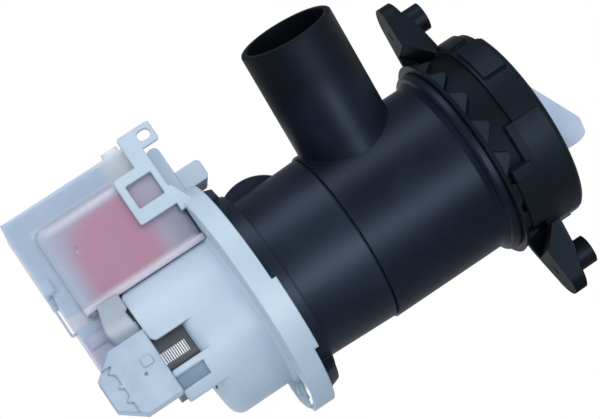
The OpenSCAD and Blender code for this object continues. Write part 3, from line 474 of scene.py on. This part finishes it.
# BEARING CAP, BUSHES AND SEALS
# A black glass-filled cap closes the rotor can and holds the front bush, with rubber rings in its grooves.
# The bushes are oil-filled sintered bronze, pressed in.
wet_plastic = moulded("wet_plastic", srgb(17, 20, 25), srgb(29, 33, 39), gloss=0.38, cloud=0.006,
                      grain=0.0003, edge=0.0003, Specular_IOR_Level=0.25)
dress(wet_plastic, "bearing_cap")
bush_bronze = bare_metal("bush_bronze", srgb(138, 98, 62), srgb(164, 122, 80), 0.42, 0.0003)
dress(bush_bronze, "front_bush", "rear_bush")
seal_rubber = moulded("seal_rubber", srgb(20, 20, 21), srgb(32, 32, 33), gloss=0.62, cloud=0.004,
                      grain=0.0003, edge=0.0002, Specular_IOR_Level=0.25)
dress(seal_rubber, "cap_o_ring", "shaft_seal", "flange_seal", "filter_seal")


# ROTOR
# A ferrite ring magnet on a plastic core over a ground steel shaft, turning wet inside the can.
# The white dog at the front end is pressed onto the shaft.
dress(bare_metal("shaft_steel", srgb(176, 180, 186), srgb(206, 209, 213), 0.18, 0.0001), "rotor_shaft")
ferrite = moulded("ferrite", srgb(42, 41, 42), srgb(60, 58, 58), gloss=0.5, cloud=0.003,
                  grain=0.0002, edge=0.0003, Specular_IOR_Level=0.5)
dress(ferrite, "rotor_magnet")
core_plastic = moulded("core_plastic", srgb(190, 198, 208), srgb(206, 214, 222), gloss=0.45, cloud=0.008,
                       grain=0.0004, edge=0.0003, Specular_IOR_Level=0.4)
dress(core_plastic, "rotor_sleeve", "drive_dog")


# IMPELLER
# Straight open vanes on a disc and hub, moulded in the same black plastic as the bearing cap.
# The hub hangs loosely round the dog, so the rotor gets a free swing before it picks the vanes up.
dress(wet_plastic, "impeller")


# FILTER
# The cap with its grip bar and the strainer behind it, both moulded in white polypropylene.
# The strainer is clipped to the cap, and a rubber ring seals the cap in the collar.
grip_plastic = moulded("grip_plastic", srgb(186, 201, 224), srgb(192, 206, 228), gloss=0.38, cloud=0.014,
                       grain=0.0005, edge=0.0006, Specular_IOR_Level=0.4)
dress(grip_plastic, "filter_cap", "filter_basket")


# STUDIO
# A pale floor under the pump, in a white room with a grey ceiling, and one big soft lamp beside the camera.
# Two narrower lamps are seen only as the two streaks along the black tubes. The camera looks up past the
# floor, so this is clear from below, and it throws no shadow because one of those lamps stands under it.
def white_floor():
    """Pale paper just under the pump's lowest point, seen from above alone."""
    size = 6.0
    gap = 0.0005
    low = cad_box[0][2] - gap
    mesh = bpy.data.meshes.new("floor")
    corners = [(x * size, y * size, low) for x, y in ((-1, -1), (1, -1), (1, 1), (-1, 1))]
    mesh.from_pydata(corners, [], [(0, 1, 2, 3)])
    floor = bpy.data.objects.new("floor", mesh)
    bpy.context.scene.collection.objects.link(floor)
    material, shader, place = new_finish("floor_paper", Roughness=0.9, Specular_IOR_Level=0.1)
    paper = speckle(place, 0.5)
    connect(shader, Base_Color=paper.tint(srgb(240, 241, 243), srgb(246, 247, 248)))
    under = place.node("ShaderNodeNewGeometry", out="Backfacing")
    clear = place.node("ShaderNodeBsdfTransparent")
    surface = place.node("ShaderNodeMixShader", inputs={0: under, 2: clear})
    surface.tree.links.new(shader.outputs["BSDF"], surface.output.node.inputs[1])
    output = material.node_tree.nodes["Material Output"]
    surface.tree.links.new(surface.output, output.inputs["Surface"])
    mesh.materials.append(material)
    floor.visible_shadow = False


def white_surround(shade, ceiling):
    """White walls under a grey ceiling, in reflections and through glass too. As light, an even shade."""
    white = (1.0, 1.0, 1.0, 1.0)
    ceiling_start = (0.32, 0.62)
    world = bpy.data.worlds.new("surround")
    world.use_nodes = True
    bpy.context.scene.world = world
    tree = world.node_tree
    rays = Socket(tree)
    seen = rays.node("ShaderNodeLightPath", out="Is Camera Ray")
    path = seen.output.node
    mirrored = Socket(tree, path.outputs["Is Glossy Ray"])
    through = Socket(tree, path.outputs["Is Transmission Ray"])
    shown = seen.math("MAXIMUM", mirrored).math("MAXIMUM", through)
    _, _, height = axes(rays.node("ShaderNodeTexCoord", out="Generated"))
    room = height.rise(*ceiling_start).tint(white, ceiling)
    connect(tree.nodes["Background"], Color=shown.tint(shade, room))


def soft_lamp(name, toward, size, power, sheen):
    """A square lamp in this direction from the pump, either for the sheen or for the plain light."""
    middle = Vector((-0.085, 0.0, 0.0))
    distance = 1.25
    lamp = bpy.data.lights.new(name, "AREA")
    lamp.size = size
    lamp.energy = power
    lamp.color = (0.97, 0.99, 1.0)
    stand = bpy.data.objects.new(name, lamp)
    stand.location = middle + Vector(toward).normalized() * distance
    stand.rotation_mode = "QUATERNION"
    stand.rotation_quaternion = Vector(toward).to_track_quat("Z", "Y")
    stand.visible_diffuse = not sheen
    stand.visible_glossy = sheen
    bpy.context.scene.collection.objects.link(stand)


def photo_camera():
    """The photograph's eye point, turn and focal length, found by fitting the solids to it."""
    eye = (-0.21349, -0.8216, -0.0932)
    right = Vector((0.82475, -0.04914, -0.56335))
    upward = Vector((0.54521, -0.19532, 0.81523))
    back = Vector((-0.15009, -0.97951, -0.13430))
    turn = Matrix((right, upward, back)).transposed()
    lens = bpy.data.cameras.new("camera")
    lens.sensor_fit = "HORIZONTAL"
    lens.sensor_width = 36.0
    lens.lens = 125.34
    camera = bpy.data.objects.new("camera", lens)
    camera.matrix_world = Matrix.Translation(eye) @ turn.to_4x4()
    bpy.context.scene.collection.objects.link(camera)
    bpy.context.scene.camera = camera


white_floor()
white_surround(shade=(0.73, 0.755, 0.785, 1.0), ceiling=(0.26, 0.30, 0.36, 1.0))
soft_lamp("big_lamp", toward=(-0.05, -0.86, 0.50), size=1.0, power=5.2, sheen=False)
soft_lamp("upper_streak", toward=(0.15, -0.53, 0.84), size=0.44, power=8.0, sheen=True)
soft_lamp("lower_streak", toward=(0.15, -0.90, -0.41), size=0.42, power=16.0, sheen=True)
photo_camera()
bpy.context.scene.view_settings.view_transform = "Standard"
